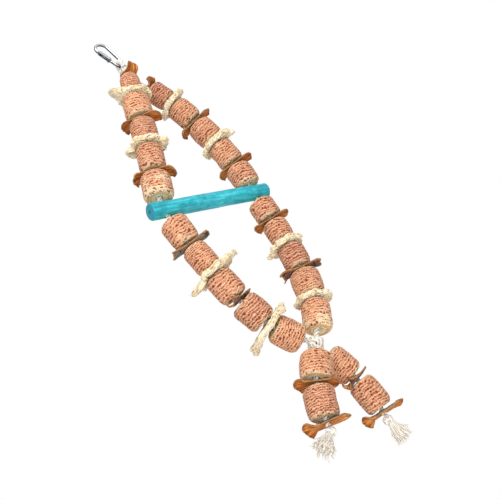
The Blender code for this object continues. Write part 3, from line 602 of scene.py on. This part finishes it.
def make_bark(name, side, number, seed):
    """Curled bark chip: fissured outer side, fibrous inner side, thin broken edges."""
    spot, rows = bead_frame(name)
    turn = math.radians(bark_turn[side][number])
    c, k = math.cos(turn), math.sin(turn)
    rows = np.array([[c, k, 0], [-k, c, 0], [0, 0, 1.0]]) @ rows
    bore = np.hypot(*to_local(node_points(name), spot, rows)[:, :2].T).min()
    reach, bend = bark_reach[side][number], bark_bend[number]
    curl_up = bark_curl[side][number]
    rise = bark_curl_radius - math.sqrt(bark_curl_radius ** 2 - max(bark_width) ** 2 / 4)
    cols, count = 23, 57
    size = cols * count
    s = np.linspace(-reach[0], reach[1], 801)
    share = np.clip((np.abs(s) - bend + 0.0015) / (np.where(s < 0, *reach) - bend), 0, 1)
    angle = np.radians(np.where(s < 0, *bark_droop[side][number]))
    lean = np.sign(s) * angle * (0.4 * np.clip(share / 0.2, 0, 1) + 1.2 * np.clip(share - 0.1, 0, 1))
    step = s[1] - s[0]
    line_x = np.cumsum(np.cos(lean)) * step
    line_z = -np.cumsum(np.sin(lean)) * step
    line_x -= np.interp(0, s, line_x)
    line_z -= np.interp(0, s, line_z)
    marks = [-reach[0], -(bend + reach[0]) / 2, -bend, 0, bend, (bend + reach[1]) / 2, reach[1]]
    u = np.repeat(np.linspace(-1, 1, count), cols)
    v = np.tile(np.linspace(-1, 1, cols), count)
    end = np.stack([1.7 * v, np.sign(u), np.full(size, 0.37 * seed)], 1)
    torn = bark_torn[0] * (1 + wobble(end, 0.8, 1)) + bark_torn[1] * (1 + wobble(end, 0.22, 2))
    torn = torn + bark_round[side][number] * np.abs(v) ** 2.5
    t = u * np.where(u < 0, *reach) - np.sign(u) * torn * np.abs(u) ** 3
    place = np.interp(t, marks, np.linspace(-0.5, 0.5, 7))
    edge = np.stack([8 * u, np.sign(v), np.full(size, 0.71 * seed)], 1)
    width = bark_width[number] * (1 - bark_taper * (place + 0.5) - bark_point * np.abs(2 * place) ** 3)
    width = width * (1 - 0.05 * (1 + wobble(edge, 1.1, 3)) * np.abs(v) ** 2)
    # Mask of the painted shade on the middle of the chip, where it sits between two cobs
    middle = np.exp(-(t / bark_waist_reach) ** 2) if 0 < number < 6 else np.zeros(size)
    width = width * (1 - bark_waist * middle)
    # The dark chip gets the same dark brown mix along its whole length
    if name == dark_chip:
        middle = middle + 0.6
    y = 0.5 * v * width
    curl = bark_curl_radius + (bark_end_curl_radius - bark_curl_radius) * np.abs(2 * place) ** 2
    bowl = curl - np.sqrt(curl ** 2 - y * y)
    bowl = bowl * (1 + 0.12 * wobble(edge, 1.6, 4) * np.abs(2 * place)) - rise / 2
    rolled = np.clip((-t - 0.008) / 0.009, 0, 1) * (name in bark_quills)
    bowl = bowl + rolled * (quill_radius * (1 - np.cos(y / quill_radius)) - rise / 2 - bowl)
    y = y + rolled * (quill_radius * np.sin(y / quill_radius) - y)
    thick = bark_thickness * (1.0 - 0.35 * np.maximum(np.abs(v), np.abs(u)) ** 6)
    sheet = np.stack([t * 0.35, y, np.full(size, 0.05 * seed)], 1)
    crack = np.clip(1 - 5 * np.abs(wobble(sheet, 0.0034, 5)), 0, 1)
    lump = wobble(np.stack([t, y, np.full(size, 0.03 * seed)], 1), 0.0030, 6)
    thread = wobble(np.stack([t * 0.12, y, np.full(size, 0.09 * seed)], 1), 0.0011, 7)
    tilt = np.interp(t, s, lean)
    free = np.clip((np.abs(t) - 0.65 * bend) / 0.009, 0, 1)
    twist = free * np.radians(np.where(place < 0, *bark_twist[side][number]))
    border_shade = 0.65 * np.clip((np.maximum(np.abs(v), np.abs(u)) - 0.84) / 0.12, 0, 1)
    layers = []
    for outer in (1, 0):
        skin = bark_lump * lump - bark_fissure * crack if outer else bark_fibre * thread
        away = curl_up * (bowl + (-1 if outer else 1) * (thick / 2 + skin))
        across = y * np.cos(twist) + away * np.sin(twist)
        away = away * np.cos(twist) - y * np.sin(twist)
        x = np.interp(t, s, line_x) + away * np.sin(tilt)
        z = np.interp(t, s, line_z) + away * np.cos(tilt)
        points = np.stack([x, across, z], 1)
        rim = np.maximum((np.abs(v) > 0.999) * 0.85, np.clip((np.abs(u) - 0.93) / 0.05, 0, 0.85))
        layers.append((points, crack * outer, np.full(size, float(outer)), rim))
    sheet_faces = grid_faces(count, cols, wrap_cols=False)
    flip = curl_up < 0
    faces = [f[::-1] if flip else f for f in sheet_faces]
    faces += [tuple(i + size for i in (f if flip else f[::-1])) for f in sheet_faces]
    border = list(range(cols)) + [i * cols + cols - 1 for i in range(1, count)]
    border += [(count - 1) * cols + i for i in range(cols - 2, -1, -1)]
    border += [i * cols for i in range(count - 2, 0, -1)]
    for i, j in zip(border, border[1:] + border[:1]):
        faces.append((i, j, j + size, i + size) if not flip else (j, i, i + size, j + size))
    points = np.vstack([a[0] for a in layers])
    flat = np.stack([t, y, np.full(size, 0.011 * seed)], 1)
    fissure, outer_side, rim = (np.concatenate([a[k] for a in layers]) for k in (1, 2, 3))
    facts = {"fissure": fissure, "side": outer_side, "edge": rim,
             "grey": np.full(2 * size, bark_grey[side][number]),
             "middle": np.tile(0.75 * middle, 2), "border": np.tile(border_shade, 2),
             "grain": np.vstack([flat, flat + (0, 0, 0.004)]) / (0.014, 0.0012, 0.0016)}
    ob = build(name + "_look", to_world(points, spot, rows), faces, [bark_mat], facts)
    drill(ob, bore, 0.03, 20, spot, rows)
    return ob


def drill(ob, radius, depth, segments, spot, rows):
    """Round hole through a piece, along the last of the rows."""
    tool_mesh = bpy.data.meshes.new("drill")
    bm = bmesh.new()
    bmesh.ops.create_cone(bm, cap_ends=True, segments=segments, radius1=radius, radius2=radius, depth=depth)
    bm.to_mesh(tool_mesh)
    bm.free()
    matrix = Matrix(rows.T.tolist()).to_4x4()
    matrix.translation = Vector(spot)
    tool_mesh.transform(matrix)
    tool = add_object("drill", tool_mesh)
    mod = ob.modifiers.new("cut", "BOOLEAN")
    mod.operation = "DIFFERENCE"
    mod.solver = "EXACT"
    mod.object = tool
    apply_modifiers(ob)
    bpy.data.objects.remove(tool)
    bpy.data.meshes.remove(tool_mesh)


def apply_modifiers(ob):
    bpy.context.view_layer.update()
    mesh = bpy.data.meshes.new_from_object(ob.evaluated_get(bpy.context.evaluated_depsgraph_get()))
    old = ob.data
    ob.modifiers.clear()
    ob.data = mesh
    bpy.data.meshes.remove(old)


def tubes(lines, radii, sides):
    """Thin closed tubes along many lines: points, faces and the phase along each."""
    pieces = []
    for line, radius in zip(lines, radii):
        taper = np.full(len(line), radius)
        taper[[0, -1]] *= 0.4
        points = swept(line, *carried_frames(line), taper[:, None], circle(sides)[None, :])
        phase = np.repeat(np.linspace(0, 1, len(line)), sides)
        pieces.append((points, tube_faces(len(line), sides), {"phase": phase}))
    return join(pieces)


def make_loofah(name, side, number, seed):
    """Loofah slice: a wavy sponge with two lobes, netted with fibres on its rim and faces."""
    spot, rows = bead_frame(name)
    local = to_local(node_points(name), spot, rows)
    reach = np.hypot(local[:, 0], local[:, 1])
    bore = reach.min()
    half = local[reach < loofah_flat + 0.0002][:, 2].max()
    rim_points = local[reach > loofah_flat + 0.0004]
    turn = np.arctan2(rim_points[:, 1], rim_points[:, 0])
    cols = 144
    angle = circle(cols)
    weight = np.exp(-((angle[:, None] - turn[None, :] + math.pi) % (2 * math.pi) - math.pi) ** 2 / 0.016)
    weight /= weight.sum(1)[:, None]
    rim = weight @ np.hypot(rim_points[:, 0], rim_points[:, 1])
    sink = weight @ rim_points[:, 2]
    ring = polar(1.0, angle, np.full(cols, 0.4 * seed))
    free = np.clip((rim - loofah_flat - 0.003) / 0.006, 0, 1)
    notch = np.clip(1.4 * wobble(ring, 0.17, 8) + 0.05, 0, 1) ** 1.3
    rim = rim + 0.0010 * wobble(ring, 0.5, 1) - loofah_notch * free * notch - 0.0006
    lobe = np.cos(angle - math.radians(loofah_turn[side][number]))
    sag = np.where(lobe < 0, *loofah_sag[side][number]) * lobe ** 2
    wave = sink - sag + (0.4 + free) * (0.0010 * np.sin(5 * angle + seed) + 0.0016 * wobble(ring, 0.40, 2))

    def sheet(share, a):
        """Radius and middle height at a share of the way from the bore to the rim."""
        edge = np.interp(a, angle, rim, period=2 * math.pi)
        lift = np.interp(a, angle, wave, period=2 * math.pi)
        r = bore + share * (edge - bore)
        return r, lift * np.clip((r - loofah_flat + 0.001) / (edge - loofah_flat + 0.001), 0, 1) ** 1.2

    def plumpness(r, middle):
        return middle - 0.12 * np.clip((r - loofah_flat) / 0.010, 0, 1)

    round_shares, round_heights = np.array((0.94, 0.985, 1.0)), np.array((0.90, 0.62, 0.24))
    shares = np.concatenate([np.linspace(0, 0.88, 16), round_shares])
    shares = np.concatenate([shares, shares[::-1]])
    heights = np.concatenate([np.ones(16), round_heights])
    heights = np.concatenate([heights, -heights[::-1]])
    n = len(shares)
    t = np.tile(angle, n)
    share, height = np.repeat(shares, cols), np.repeat(heights, cols)
    r, lift = sheet(share, t)
    z = height * half * plumpness(r, 0.90) + lift
    seeds = polar(r, t, z) + 0.2 * seed
    net = np.abs(wobble(seeds, 0.0042, 3)) + 0.6 * np.abs(wobble(seeds, 0.0020, 4))
    # Holes in the net: sunk into the surface, and coloured with painted shade through the pit fact
    hole = np.clip(1.0 - 2.3 * net, 0, 1)
    flat_side = np.abs(height) > 0.89
    depth = -0.0018 * hole + 0.0007 * wobble(seeds, 0.0020, 5)
    r = r + np.where(flat_side, 0.0, depth)
    z = z + np.where(flat_side, np.sign(height) * np.minimum(depth, 0.0002), 0.2 * np.sign(height) * depth)
    core = polar(r, t, z)
    random = np.random.default_rng(100 + seed)
    lines, radii = [], []
    for _ in range(loofah_fibres):
        a = random.uniform(0, 2 * math.pi)
        s = np.linspace(0, 1, 9)
        if random.random() < 0.6:
            sweep = a + s * random.uniform(0.25, 0.8)
            level = random.uniform(-1, 1) + s * random.uniform(-1.1, 1.1)
            level = np.clip(level + 0.3 * np.sin(s * random.uniform(3, 9) + a), -1.0, 1.0)
            share = 1.0 - 0.08 * np.abs(level) ** 2 + random.uniform(-0.02, 0.06)
        else:
            sweep = a + s * random.uniform(-0.4, 0.4)
            level = np.full(9, random.choice((-1.0, 1.0))) + 0.05 * np.sin(7 * s + a)
            share = random.uniform(0.60, 0.80) + s * random.uniform(0.08, 0.25)
            share = np.minimum(share + 0.02 * np.sin(9 * s + a), 0.95)
        r, lift = sheet(share, sweep)
        height = half * plumpness(r, 0.94) * level + lift
        lines.append(polar(r, sweep, height))
        radii.append(random.uniform(0.00040, 0.00085))
    for k in range(loose_fibres):
        a = math.radians(loofah_turn[side][number]) + math.pi * (k % 2) + random.normal(0.0, 0.40)
        s = np.linspace(0, 1, 7)
        sweep = a + s * random.uniform(-0.16, 0.16)
        level = random.uniform(-0.9, 0.9) + s * random.uniform(-0.6, 0.6)
        r, lift = sheet(0.88 + s * random.uniform(0.10, 0.24), sweep)
        lines.append(polar(r, sweep, 0.8 * half * level + lift))
        radii.append(random.uniform(0.00028, 0.00055))
    fibre, fibre_faces, _ = tubes(lines, radii, 5)
    sponge = (core, grid_faces(n, cols, wrap_rows=True), {"pit": hole})
    points, faces, facts = join([sponge, (fibre, fibre_faces, {"pit": np.zeros(len(fibre))})])
    return build(name + "_look", to_world(points, spot, rows), faces, [loofah_mat], facts)


for s, side in enumerate(("left", "right")):
    for kind, make, count in (("cob", make_cob, 12), ("bark", make_bark, 7), ("loofah", make_loofah, 4)):
        for i in range(count):
            name = f"{side}_{kind}_{i + 1}"
            dress(make(name, side, i, 20 * s + i + 1), name, name)


# Rope, knots and tassels

rope_low, rope_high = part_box("rope_loop")
rope_radius = (rope_high.x - rope_low.x) / 2
loop_radius = (rope_high.y - rope_low.y) / 2 - rope_radius
wire_spot = spot_of("rope_loop")
pivot = spot_of("upper_strands")
fold = spot_of("lower_strands")
perch_axis = unit(joints["lower_strands"]["axis"])
perch_down = np.array((perch_axis[2], 0.0, -perch_axis[0]))
perch_points = node_points("perch")
perch_middle = (perch_points.max(0) + perch_points.min(0)) / 2
perch_half = np.abs((perch_points - perch_middle) @ perch_axis).max()
perch_radius = np.abs((perch_points - perch_middle) @ perch_down).max()
hole_reach = -(fold - perch_middle) @ perch_axis
upper_order = "bark_1 cob_1 loofah_1 cob_2 bark_2 cob_3 loofah_2 cob_4 bark_3 cob_5".split()
lower_order = "cob_6 bark_4 cob_7 loofah_3 cob_8 bark_5 cob_9 loofah_4 cob_10".split()
tail_order = "cob_11 bark_6 cob_12 bark_7".split()


def twisted(line, radius, sides=30, closed=False, ball=True, thin=1.0):
    """Three-strand rope along a line: points, faces and attributes."""
    line = np.asarray(line, float)
    scale = np.ones(len(line)) * thin
    if ball and not closed:
        start = unit(line[0] - line[1])
        cap = [0.98, 0.85, 0.6, 0.3]
        line = np.vstack([[line[0] + start * radius * f for f in cap], line])
        scale = np.concatenate([[math.sqrt(1 - f * f) for f in cap], scale])
        scale[0] = 0.15
    gaps = np.linalg.norm(np.diff(line, axis=0), axis=1)
    s = np.concatenate([[0], np.cumsum(gaps)])
    first, second = carried_frames(line, closed)
    lay = rope_lay
    slip = 0.0
    if closed:
        total = s[-1] + np.linalg.norm(line[0] - line[-1])
        lay = total / max(1, round(total / rope_lay))
        joint = math.atan2(first[0] @ second[-1], first[0] @ first[-1])
        slip = joint / len(line)
    t = circle(sides)
    twist = s / lay * 2 * math.pi
    phase = t[None, :] - twist[:, None]
    best = np.zeros(phase.shape)
    for k in range(3):
        a = phase - 2 * math.pi * k / 3
        side_on = np.maximum(strand_radius ** 2 - (strand_offset * np.sin(a)) ** 2, 1e-6)
        best = np.maximum(best, strand_offset * np.cos(a) + np.sqrt(side_on))
    r = radius * scale[:, None] * best
    spin = t[None, :] + slip * np.arange(len(line))[:, None]
    points = swept(line, first, second, r, spin)
    if closed:
        faces = [f[::-1] for f in grid_faces(len(line), sides, wrap_rows=True)]
    else:
        faces = tube_faces(len(line), sides)
    # Painted shade in the grooves between the three strands
    strand_shade = np.clip((1.0 - best) / 0.25, 0, 1)
    lay_fact = phase * 6 / (2 * math.pi) + (2.2 * s / lay * 3)[:, None]
    return points, faces, {"strand_shade": strand_shade.ravel(), "lay": lay_fact.ravel()}


def rope_piece(name, pieces, body, node):
    points, faces, facts = join(pieces)
    return dress(build(name, points, faces, [rope_mat], facts), body, node)


loop_low = node_points("rope_loop")[:, 2].min() - wire_spot[2]
turn = np.linspace(0, math.pi, 41)
loop_line = np.stack([0 * turn, -loop_radius * np.cos(turn), loop_radius * np.sin(turn)], 1)
loop_line = np.vstack([(0, -loop_radius, loop_low), loop_line, (0, loop_radius, loop_low)]) + wire_spot
loop_line = even_line(loop_line, rope_step)
rope_piece("rope_loop_look", [twisted(loop_line, rope_radius, ball=False)], "rope_loop", "rope_loop")

# The knot's middle lies at the same distance from where both tails start
starts = [spot_of(side + "_tail") for side in ("left", "right")]
reach = [math.sqrt(tail_gap ** 2 - p[1] ** 2) for p in starts]
across = starts[1] - starts[0]
across[1] = 0.0
apart = np.linalg.norm(across)
along = (reach[0] ** 2 - reach[1] ** 2 + apart ** 2) / (2 * apart)
across = across / apart
aside = np.array((-across[2], 0, across[0])) * math.sqrt(reach[0] ** 2 - along ** 2)
knot = starts[0] * (1, 0, 1) + across * along + aside

lower_legs, tails = [], []
for k, side in enumerate(("left", "right")):
    sign = 2 * k - 1
    hole = perch_middle + perch_axis * sign * hole_reach
    line = [pivot + (0, sign * loop_radius, 0)] + [spot_of(f"{side}_{b}") for b in upper_order]
    line += [hole - perch_down * (perch_radius + 0.0008), hole, hole + perch_down * perch_radius]
    upper = twisted(smooth_line(line, rope_step), rope_radius, thin=rope_thin)
    rope_piece(f"{side}_upper_rope_look", [upper], "upper_strands", f"{side}_upper_rope")

    ball = hole + perch_down * ((fold - perch_middle) @ perch_down)
    line = [ball] + [spot_of(f"{side}_{b}") for b in lower_order]
    line.append(knot + unit(line[-1] - knot) * knot_inset)
    lower_legs.append(twisted(smooth_line(line, rope_step), rope_radius, thin=rope_thin))

    tassel_spot = spot_of(side + "_tassel")
    line = [starts[k]] + [spot_of(f"{side}_{b}") for b in tail_order]
    line.append(tassel_spot + unit(line[-1] - tassel_spot) * stopper_inset)
    tail_line = smooth_line(line, rope_step)
    tail = rope_piece(f"{side}_tail_rope_look", [twisted(tail_line, rope_radius, thin=rope_thin)],
                      side + "_tail", f"{side}_tail_rope")
    tails.append((tail, tail_line))


def knot_ring(lean, swing, radius, count, wave):
    """Closed turn of a knot round the origin, leaned over and swung about Z."""
    turn = Matrix.Rotation(math.radians(swing), 3, "Z") @ Matrix.Rotation(math.radians(lean), 3, "X")
    t = circle(count)
    return radius * polar(1.0, t, wave * np.sin(2 * t)) @ np.array(turn).T


rings = []
for lean, swing in knot_turns:
    line = knot_ring(lean, swing, knot_turn_radius, 72, 0.06) + knot
    rings.append(twisted(line, rope_radius, sides=24, closed=True))
rope_piece("knotted_lower_rope_look", lower_legs + rings, "lower_strands", "knotted_lower_rope")


def make_tassel(name, seed):
    """Stopper knot and a frayed brush of loose yarns."""
    points = node_points(name)
    spot = spot_of(name)
    away = points - spot
    dist = np.linalg.norm(away, axis=1)
    axis = unit(away[dist > 0.6 * dist.max()].mean(0))
    length = (away @ axis).max()
    side_on = away - np.outer(away @ axis, axis)
    flare = np.linalg.norm(side_on, axis=1).max()
    stopper = -(away @ axis).min()
    rows = rows_along(axis)
    knots = []
    for lean, swing in ((68.0, 0.0), (72.0, 65.0), (10.0, 20.0)):
        line = to_world(knot_ring(lean, swing, 0.52 * stopper, 48, 0.0), spot, rows)
        knots.append(twisted(line, 0.48 * stopper, sides=20, closed=True))
    random = np.random.default_rng(300 + seed)
    lines, radii = [], []
    for _ in range(tassel_yarns):
        a = random.uniform(0, 2 * math.pi)
        spread = math.sqrt(random.uniform(0.0, 1.0))
        reach = random.uniform(0.62, 1.02) * length
        s = np.linspace(0, 1, 14)
        root = 0.0030 * spread
        curl = random.uniform(0.4, 1.2)
        r = root + (flare * random.uniform(0.80, 1.25) * spread - root) * s ** random.uniform(0.9, 1.5)
        turn_here = a + 0.25 * np.sin(4 * s + a) * s
        x = r * np.cos(turn_here) + 0.0007 * np.sin(9 * s * curl + a) * s
        y = r * np.sin(turn_here) + 0.0007 * np.cos(8 * s * curl + a) * s
        z = 0.5 * stopper + (reach - 0.5 * stopper) * s * (1.0 - 0.06 * spread * s)
        lines.append(np.stack([x, y, z], 1))
        radii.append(random.uniform(0.00036, 0.00058))
    yarn, yarn_faces, facts = tubes(lines, radii, 6)
    phase = facts["phase"]
    # The yarns carry painted shade that grows towards their roots
    yarns = (to_world(yarn, spot, rows), yarn_faces, {"strand_shade": 0.20 * (1 - phase), "lay": 9 * phase})
    sides, levels = 24, np.linspace(0, 1, 9)
    width = np.append(0.0025 + (0.74 * flare - 0.0025) * levels[:-1], 0.0004)
    height = 0.5 * stopper + (0.72 * length - 0.5 * stopper) * levels[:-1] / levels[-2]
    height = np.append(height, 0.66 * length)
    t = np.tile(circle(sides), len(levels))
    width, height = np.repeat(width, sides), np.repeat(height, sides)
    heart = to_world(polar(width, t, height), spot, rows)
    blank = np.full(9 * sides, 0.1)
    hearts = (heart, tube_faces(9, sides), {"strand_shade": blank, "lay": blank})
    points, faces, facts = join(knots + [yarns, hearts])
    kind = np.ones(len(faces))
    kind[:sum(len(k[1]) for k in knots)] = 0
    return build(name + "_look", points, faces, [rope_mat, yarn_mat], facts, kind)


for k, side in enumerate(("left", "right")):
    tassel = dress(make_tassel(side + "_tassel", k), side + "_tassel", side + "_tassel")
    tail, tail_line = tails[k]


# Perch

def make_perch():
    """Stained branch: a little uneven along its length, with rounded ends and two holes."""
    rows = np.stack([unit(np.cross((0, 1, 0), perch_axis)), (0, 1, 0), perch_axis])
    cols, count = 72, 120
    flat_half = perch_half - perch_round
    end_profile = [(perch_radius * f, perch_half) for f in (0.03, 0.25, 0.5, 0.7)]
    for a in np.linspace(0, math.pi / 2, 6)[:-1]:
        end_profile.append((perch_radius - perch_round + perch_round * math.sin(a),
                            flat_half + perch_round * math.cos(a)))
    profile = [(r, -z) for r, z in end_profile]
    profile += [(perch_radius, z) for z in np.linspace(-flat_half, flat_half, count)]
    profile = np.array(profile + end_profile[::-1])
    n = len(profile)
    angle = np.tile(circle(cols), n)
    r = np.repeat(profile[:, 0], cols)
    z = np.repeat(profile[:, 1], cols)
    flat = polar(r, angle, z)
    lift = 0.0007 * wobble(flat * (1, 1, 0.6), 0.014, 1) - 0.0004
    lift += 0.00015 * wobble(flat * (1, 1, 0.2), 0.0030, 2)
    r = r + lift * np.clip(r / perch_radius - 0.6, 0, 0.4) / 0.4
    local = polar(r, angle, z)
    ends = np.clip((np.abs(z) - perch_half + 0.0010) / 0.0008, 0, 1)
    wear = np.clip(1.0 - np.abs(z) / (0.75 * perch_half), 0, 1) * 0.8 + 0.12
    facts = {"grain": flat / (0.0032, 0.0032, 0.030), "face": ends, "wear": wear, "ring": r / perch_radius}
    ob = build("perch_look", to_world(local, perch_middle, rows), tube_faces(n, cols), [perch_mat], facts)
    hole_rows = np.stack([perch_axis, np.cross(-perch_down, perch_axis), -perch_down])
    for sign in (-1, 1):
        hole = perch_middle + perch_axis * sign * hole_reach
        drill(ob, rope_radius + hole_clearance, 4 * perch_radius, 28, hole, hole_rows)
    return ob


dress(make_perch(), "upper_strands", "perch")


# Snap hook

def hook_point(across, up):
    c, k = math.cos(math.radians(hook_lean)), math.sin(math.radians(hook_lean))
    return np.array((across * c - up * k, 0.0, across * k + up * c))


def make_hook():
    """Bent wire from the gate's rivet round the eye, up the spine and over the bow."""
    bow = wire_radius - hook_bow_radius
    eye = 3 * wire_radius - hook_length + hook_eye_radius
    slope = math.asin((hook_bow_radius - hook_eye_radius) / (bow - eye))
    rivet = spot_of("gate")
    rivet_flat = np.array((rivet @ hook_point(1, 0), rivet @ hook_point(0, 1)))
    down = np.array((math.sin(slope), -math.cos(slope)))
    bow_end = np.array((-hook_bow_radius * math.cos(slope), bow + hook_bow_radius * math.sin(slope)))
    nose = bow_end + down * 0.0015
    line = [rivet_flat - down * wire_radius, rivet_flat]
    for a in np.linspace(math.pi - slope, 2 * math.pi + slope, 41):
        line.append((hook_eye_radius * math.cos(a), eye + hook_eye_radius * math.sin(a)))
    for a in np.linspace(slope, math.pi - slope, 49):
        line.append((hook_bow_radius * math.cos(a), bow + hook_bow_radius * math.sin(a)))
    line += [nose, nose + down * 0.0029]
    line = even_line(np.array([hook_point(*p) for p in line]), 0.0007)
    sides = 28
    t = circle(sides)
    scale = np.ones(len(line)) * wire_radius
    scale[0] *= 0.7
    scale[-5:] = np.linspace(wire_radius, 0.0013, 5)
    points = swept(line, *carried_frames(line), scale[:, None], t[None, :])
    from_rivet = np.repeat(np.linalg.norm(line - rivet, axis=1), sides)
    order = np.repeat(np.arange(len(line)), sides)
    flat = ((from_rivet < 0.0034) & (order < 20)) | (order > len(line) - 6)
    points[flat, 1] = np.clip(points[flat, 1], -0.001, 0.001)
    # Painted dark reflection: the wire darkens on its flanks in the hook's plane
    flank_reflection = np.tile(np.abs(np.sin(t)), len(line))
    return build("hook_body_look", points, tube_faces(len(line), sides), [steel_mat], {"flank_reflection": flank_reflection})


def softened(node, bevel):
    """Copy of a CAD node with its flat faces welded and its edges rounded."""
    bm = bmesh.new()
    bm.from_mesh(frame["nodes"][node].data)
    bmesh.ops.remove_doubles(bm, verts=bm.verts, dist=1e-6)
    bmesh.ops.dissolve_limit(bm, angle_limit=math.radians(2.0), verts=bm.verts, edges=bm.edges)
    mesh = bpy.data.meshes.new(node + "_look")
    bm.to_mesh(mesh)
    bm.free()
    mesh.materials.clear()
    mesh.materials.append(steel_mat)
    ob = add_object(node + "_look", mesh)
    mod = ob.modifiers.new("round", "BEVEL")
    mod.width = bevel
    mod.segments = 3
    mod.limit_method = "ANGLE"
    mod.angle_limit = math.radians(50.0)
    apply_modifiers(ob)
    ob.data.polygons.foreach_set("use_smooth", [True] * len(ob.data.polygons))
    ob.data.set_sharp_from_angle(angle=math.radians(45.0))
    # Painted dark reflection on the faces that turn away from the hook's sides
    flank_reflection = ob.data.attributes.new("flank_reflection", "FLOAT", "POINT")
    flank_reflection.data.foreach_set("value", [1.0 - abs(n.vector.y) for n in ob.data.vertex_normals])
    return ob


dress(make_hook(), "snap_hook", "hook_body")
dress(softened("gate", 0.00025), "gate", "gate")
dress(softened("gate_rivet", 0.0002), "snap_hook", "gate_rivet")
spring = frame["nodes"]["gate_spring"]
spring.data.materials.clear()
spring.data.materials.append(steel_mat)


# Stage, light and camera

def make_floor():
    bpy.ops.mesh.primitive_circle_add(vertices=96, radius=floor_radius, fill_type="NGON",
                                      location=(0.0, 0.0, floor_height))
    floor = bpy.context.object
    floor.name = "floor"
    look = Look("floor_paint", 0.9)
    look.paint((0.93, 0.93, 0.93, 1.0))
    floor.data.materials.append(look.mat)
    return floor


def make_world():
    """White where it is seen, mirrored or looked at through something, and dimmer as a light."""
    world = bpy.data.worlds.new("studio")
    world.use_nodes = True
    nodes, links = world.node_tree.nodes, world.node_tree.links
    nodes.clear()
    path = nodes.new("ShaderNodeLightPath")
    seen = path.outputs["Is Camera Ray"]
    for ray in ("Is Glossy Ray", "Is Transmission Ray"):
        either = nodes.new("ShaderNodeMath")
        either.operation = "MAXIMUM"
        links.new(seen, either.inputs[0])
        links.new(path.outputs[ray], either.inputs[1])
        seen = either.outputs[0]
    choose = nodes.new("ShaderNodeMixShader")
    links.new(seen, choose.inputs[0])
    for k, strength in ((1, world_light), (2, 1.0)):
        glow = nodes.new("ShaderNodeBackground")
        glow.inputs["Color"].default_value = (1.0, 1.0, 1.0, 1.0)
        glow.inputs["Strength"].default_value = strength
        links.new(glow.outputs[0], choose.inputs[k])
    out = nodes.new("ShaderNodeOutputWorld")
    links.new(choose.outputs[0], out.inputs["Surface"])
    return world


def area_light(name, spot, size, power):
    data = bpy.data.lights.new(name, "AREA")
    data.size = size
    data.energy = power
    ob = add_object(name, data)
    ob.location = spot
    ob.rotation_euler = (Vector(light_target) - Vector(spot)).to_track_quat("-Z", "Y").to_euler()


def make_camera():
    yaw, pitch, roll = (math.radians(camera_turn[key]) for key in ("yaw", "pitch", "roll"))
    forward = Vector((math.sin(yaw) * math.cos(pitch), math.cos(yaw) * math.cos(pitch), math.sin(pitch)))
    level = Vector((math.cos(yaw), -math.sin(yaw), 0.0))
    above = level.cross(forward)
    right = math.cos(roll) * level + math.sin(roll) * above
    above = math.cos(roll) * above - math.sin(roll) * level
    data = bpy.data.cameras.new("camera")
    data.sensor_width = 36.0
    data.lens = data.sensor_width * focal_px / frame_px
    data.clip_start = 0.01
    camera = add_object("camera", data)
    matrix = Matrix((right, above, -forward)).transposed().to_4x4()
    matrix.translation = camera_spot
    camera.matrix_world = matrix
    return camera


floor = make_floor()
bpy.context.scene.world = make_world()
area_light("key", (-0.35, -1.15, 0.75), 0.9, 16.0)
area_light("fill", (-1.15, -0.75, -0.35), 1.1, 7.0)
area_light("rim", (0.9, 0.9, 0.35), 0.9, 6.0)
area_light("low", (-0.45, -0.75, -0.85), 0.7, 3.0)
bpy.context.scene.camera = make_camera()
bpy.context.scene.view_settings.view_transform = "Standard"
